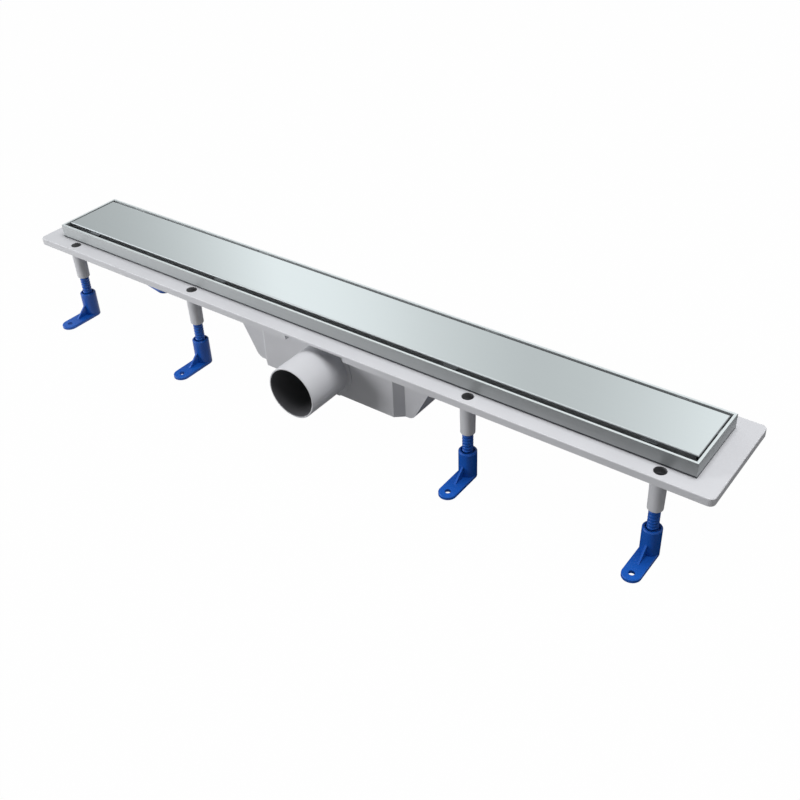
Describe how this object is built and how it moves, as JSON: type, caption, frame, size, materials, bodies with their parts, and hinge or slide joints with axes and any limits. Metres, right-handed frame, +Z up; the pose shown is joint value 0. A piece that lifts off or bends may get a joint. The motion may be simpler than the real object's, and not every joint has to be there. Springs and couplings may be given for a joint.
{
  "type": "linear shower drain",
  "caption": "Long shower channel with a tile flange, stainless trim and cover, a low side-outlet trap and screwed levelling legs on swivel feet.",
  "frame": {"origin": "centre of the cover's top face, at the finished floor", "axes": "+Z up, +X along the channel, the outlet points to -Y"},
  "size_m": [0.74, 0.1631, 0.096],
  "materials": {
    "grey_moulding": "matte moulded, fine grain",
    "brushed_stainless": "brushed along the length",
    "polished_stainless": "polished",
    "screw_steel": "plain",
    "blue_plastic": "semi-gloss moulded",
    "insert_plastic": "smooth moulded",
    "seal_rubber": "matte"
  },
  "bodies": {
    "root": {"channel_body": "grey_moulding", "trap_housing": "grey_moulding", "trim_frame": "brushed_stainless", "frame_screws": "screw_steel", "cover_plate": "polished_stainless", "siphon_box": "insert_plastic", "siphon_seal_ring": "seal_rubber", "siphon_lid": "insert_plastic", "hair_strainer_left": "insert_plastic", "hair_strainer_right": "insert_plastic"},
    "leg_1": {"leg_rod_1": "blue_plastic"},
    "foot_1": {"leg_foot_1": "blue_plastic"},
    "leg_2": {"leg_rod_2": "blue_plastic"},
    "foot_2": {"leg_foot_2": "blue_plastic"},
    "leg_3": {"leg_rod_3": "blue_plastic"},
    "foot_3": {"leg_foot_3": "blue_plastic"},
    "leg_4": {"leg_rod_4": "blue_plastic"},
    "foot_4": {"leg_foot_4": "blue_plastic"},
    "leg_5": {"leg_rod_5": "blue_plastic"},
    "foot_5": {"leg_foot_5": "blue_plastic"},
    "leg_6": {"leg_rod_6": "blue_plastic"},
    "foot_6": {"leg_foot_6": "blue_plastic"},
    "leg_7": {"leg_rod_7": "blue_plastic"},
    "foot_7": {"leg_foot_7": "blue_plastic"},
    "leg_8": {"leg_rod_8": "blue_plastic"},
    "foot_8": {"leg_foot_8": "blue_plastic"}
  },
  "joints": [
    {"name": "leg_1_height", "type": "slide", "parent": "root", "child": "leg_1", "axis": [0, 0, 1], "range_m": [-0.007, 0.017]},
    {"name": "foot_1_swivel", "type": "hinge", "parent": "leg_1", "child": "foot_1", "pos_m": [-0.3245, -0.0415, -0.08], "axis": [0, 0, 1], "continuous": true},
    {"name": "leg_2_height", "type": "slide", "parent": "root", "child": "leg_2", "axis": [0, 0, 1], "range_m": [-0.007, 0.017]},
    {"name": "foot_2_swivel", "type": "hinge", "parent": "leg_2", "child": "foot_2", "pos_m": [-0.157, -0.0415, -0.08], "axis": [0, 0, 1], "continuous": true},
    {"name": "leg_3_height", "type": "slide", "parent": "root", "child": "leg_3", "axis": [0, 0, 1], "range_m": [-0.007, 0.017]},
    {"name": "foot_3_swivel", "type": "hinge", "parent": "leg_3", "child": "foot_3", "pos_m": [0.157, -0.0415, -0.08], "axis": [0, 0, 1], "continuous": true},
    {"name": "leg_4_height", "type": "slide", "parent": "root", "child": "leg_4", "axis": [0, 0, 1], "range_m": [-0.007, 0.017]},
    {"name": "foot_4_swivel", "type": "hinge", "parent": "leg_4", "child": "foot_4", "pos_m": [0.3245, -0.0415, -0.08], "axis": [0, 0, 1], "continuous": true},
    {"name": "leg_5_height", "type": "slide", "parent": "root", "child": "leg_5", "axis": [0, 0, 1], "range_m": [-0.007, 0.017]},
    {"name": "foot_5_swivel", "type": "hinge", "parent": "leg_5", "child": "foot_5", "pos_m": [-0.3245, 0.0415, -0.08], "axis": [0, 0, 1], "continuous": true},
    {"name": "leg_6_height", "type": "slide", "parent": "root", "child": "leg_6", "axis": [0, 0, 1], "range_m": [-0.007, 0.017]},
    {"name": "foot_6_swivel", "type": "hinge", "parent": "leg_6", "child": "foot_6", "pos_m": [-0.157, 0.0415, -0.08], "axis": [0, 0, 1], "continuous": true},
    {"name": "leg_7_height", "type": "slide", "parent": "root", "child": "leg_7", "axis": [0, 0, 1], "range_m": [-0.007, 0.017]},
    {"name": "foot_7_swivel", "type": "hinge", "parent": "leg_7", "child": "foot_7", "pos_m": [0.157, 0.0415, -0.08], "axis": [0, 0, 1], "continuous": true},
    {"name": "leg_8_height", "type": "slide", "parent": "root", "child": "leg_8", "axis": [0, 0, 1], "range_m": [-0.007, 0.017]},
    {"name": "foot_8_swivel", "type": "hinge", "parent": "leg_8", "child": "foot_8", "pos_m": [0.3245, 0.0415, -0.08], "axis": [0, 0, 1], "continuous": true}
  ]
}
